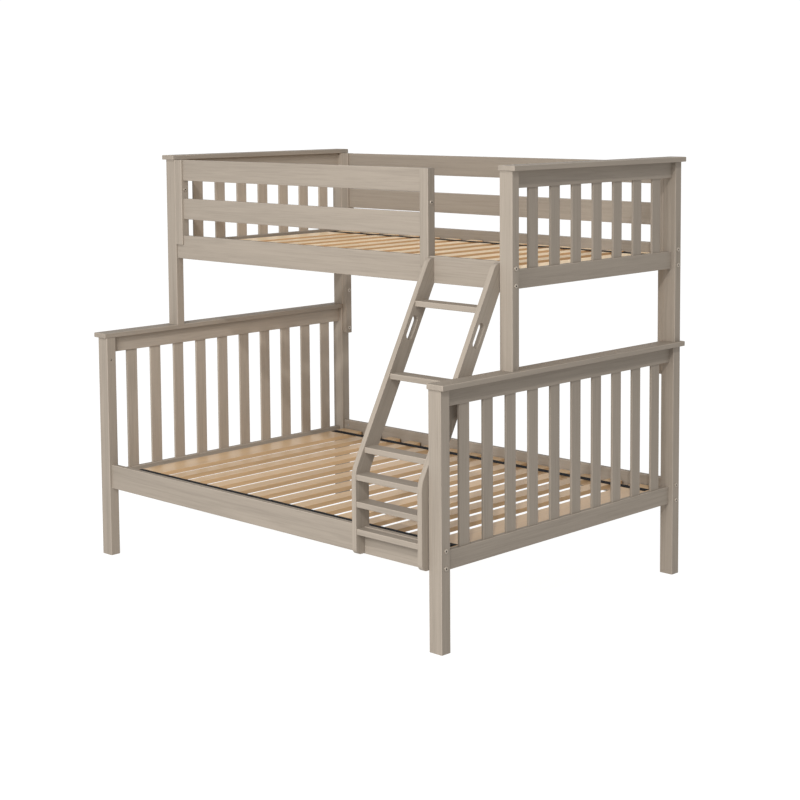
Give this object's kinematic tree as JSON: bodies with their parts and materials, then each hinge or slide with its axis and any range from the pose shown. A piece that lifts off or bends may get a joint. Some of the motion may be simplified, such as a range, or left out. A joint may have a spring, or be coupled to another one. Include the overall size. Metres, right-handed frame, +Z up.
{
  "type": "bunk bed with ladder",
  "caption": "Twin-over-full wooden bunk bed with slatted end panels, slatted mattress decks, upper guard rails and a dog-leg ladder hooked on the lower side rail.",
  "frame": {"origin": "middle of the whole bed's footprint, on the floor", "axes": "+Z up, +X along the mattresses towards the ladder end, -Y towards the ladder side"},
  "size_m": [2.072, 1.5016, 1.742],
  "materials": {
    "stained_wood": "satin, grey-beige stain over straight-grained solid wood",
    "natural_pine": "plain planed pine",
    "dowel_wood": "plain beech",
    "webbing": "woven webbing",
    "steel": "plated, tinted to suit the wood"
  },
  "bodies": {
    "root": {"back_guard_left_stile": "stained_wood", "back_guard_lower_board": "stained_wood", "back_guard_right_stile": "stained_wood", "back_guard_top_board": "stained_wood", "barrel_nuts": "steel", "cleat_screws": "steel", "front_guard_left_stile": "stained_wood", "front_guard_lower_board": "stained_wood", "front_guard_right_stile": "stained_wood", "front_guard_top_board": "stained_wood", "guard_bolts": "steel", "joining_board_bolts": "steel", "ladder_left_stringer": "stained_wood", "ladder_right_stringer": "stained_wood", "ladder_screws": "steel", "ladder_tread_1": "stained_wood", "ladder_tread_2": "stained_wood", "ladder_tread_3": "stained_wood", "ladder_tread_4": "stained_wood", "ladder_tread_5": "stained_wood", "ladder_tread_6": "stained_wood", "left_joining_board": "stained_wood", "lower_back_left_post": "stained_wood", "lower_back_right_post": "stained_wood", "lower_back_side_rail": "stained_wood", "lower_cleats": "natural_pine", "lower_deck_slats": "natural_pine", "lower_deck_straps": "webbing", "lower_front_left_post": "stained_wood", "lower_front_right_post": "stained_wood", "lower_front_side_rail": "stained_wood", "lower_left_bottom_rail": "stained_wood", "lower_left_cap_rail": "stained_wood", "lower_left_panel_slats": "stained_wood", "lower_left_top_rail": "stained_wood", "lower_right_bottom_rail": "stained_wood", "lower_right_cap_rail": "stained_wood", "lower_right_panel_slats": "stained_wood", "lower_right_top_rail": "stained_wood", "right_joining_board": "stained_wood", "side_rail_bolts": "steel", "stacking_pins": "steel", "upper_back_left_post": "stained_wood", "upper_back_right_post": "stained_wood", "upper_back_side_rail": "stained_wood", "upper_cleats": "natural_pine", "upper_deck_slats": "natural_pine", "upper_deck_straps": "webbing", "upper_front_left_post": "stained_wood", "upper_front_right_post": "stained_wood", "upper_front_side_rail": "stained_wood", "upper_left_bottom_rail": "stained_wood", "upper_left_cap_rail": "stained_wood", "upper_left_panel_slats": "stained_wood", "upper_left_top_rail": "stained_wood", "upper_right_bottom_rail": "stained_wood", "upper_right_cap_rail": "stained_wood", "upper_right_panel_slats": "stained_wood", "upper_right_top_rail": "stained_wood", "wood_dowels": "dowel_wood"}
  },
  "joints": []
}
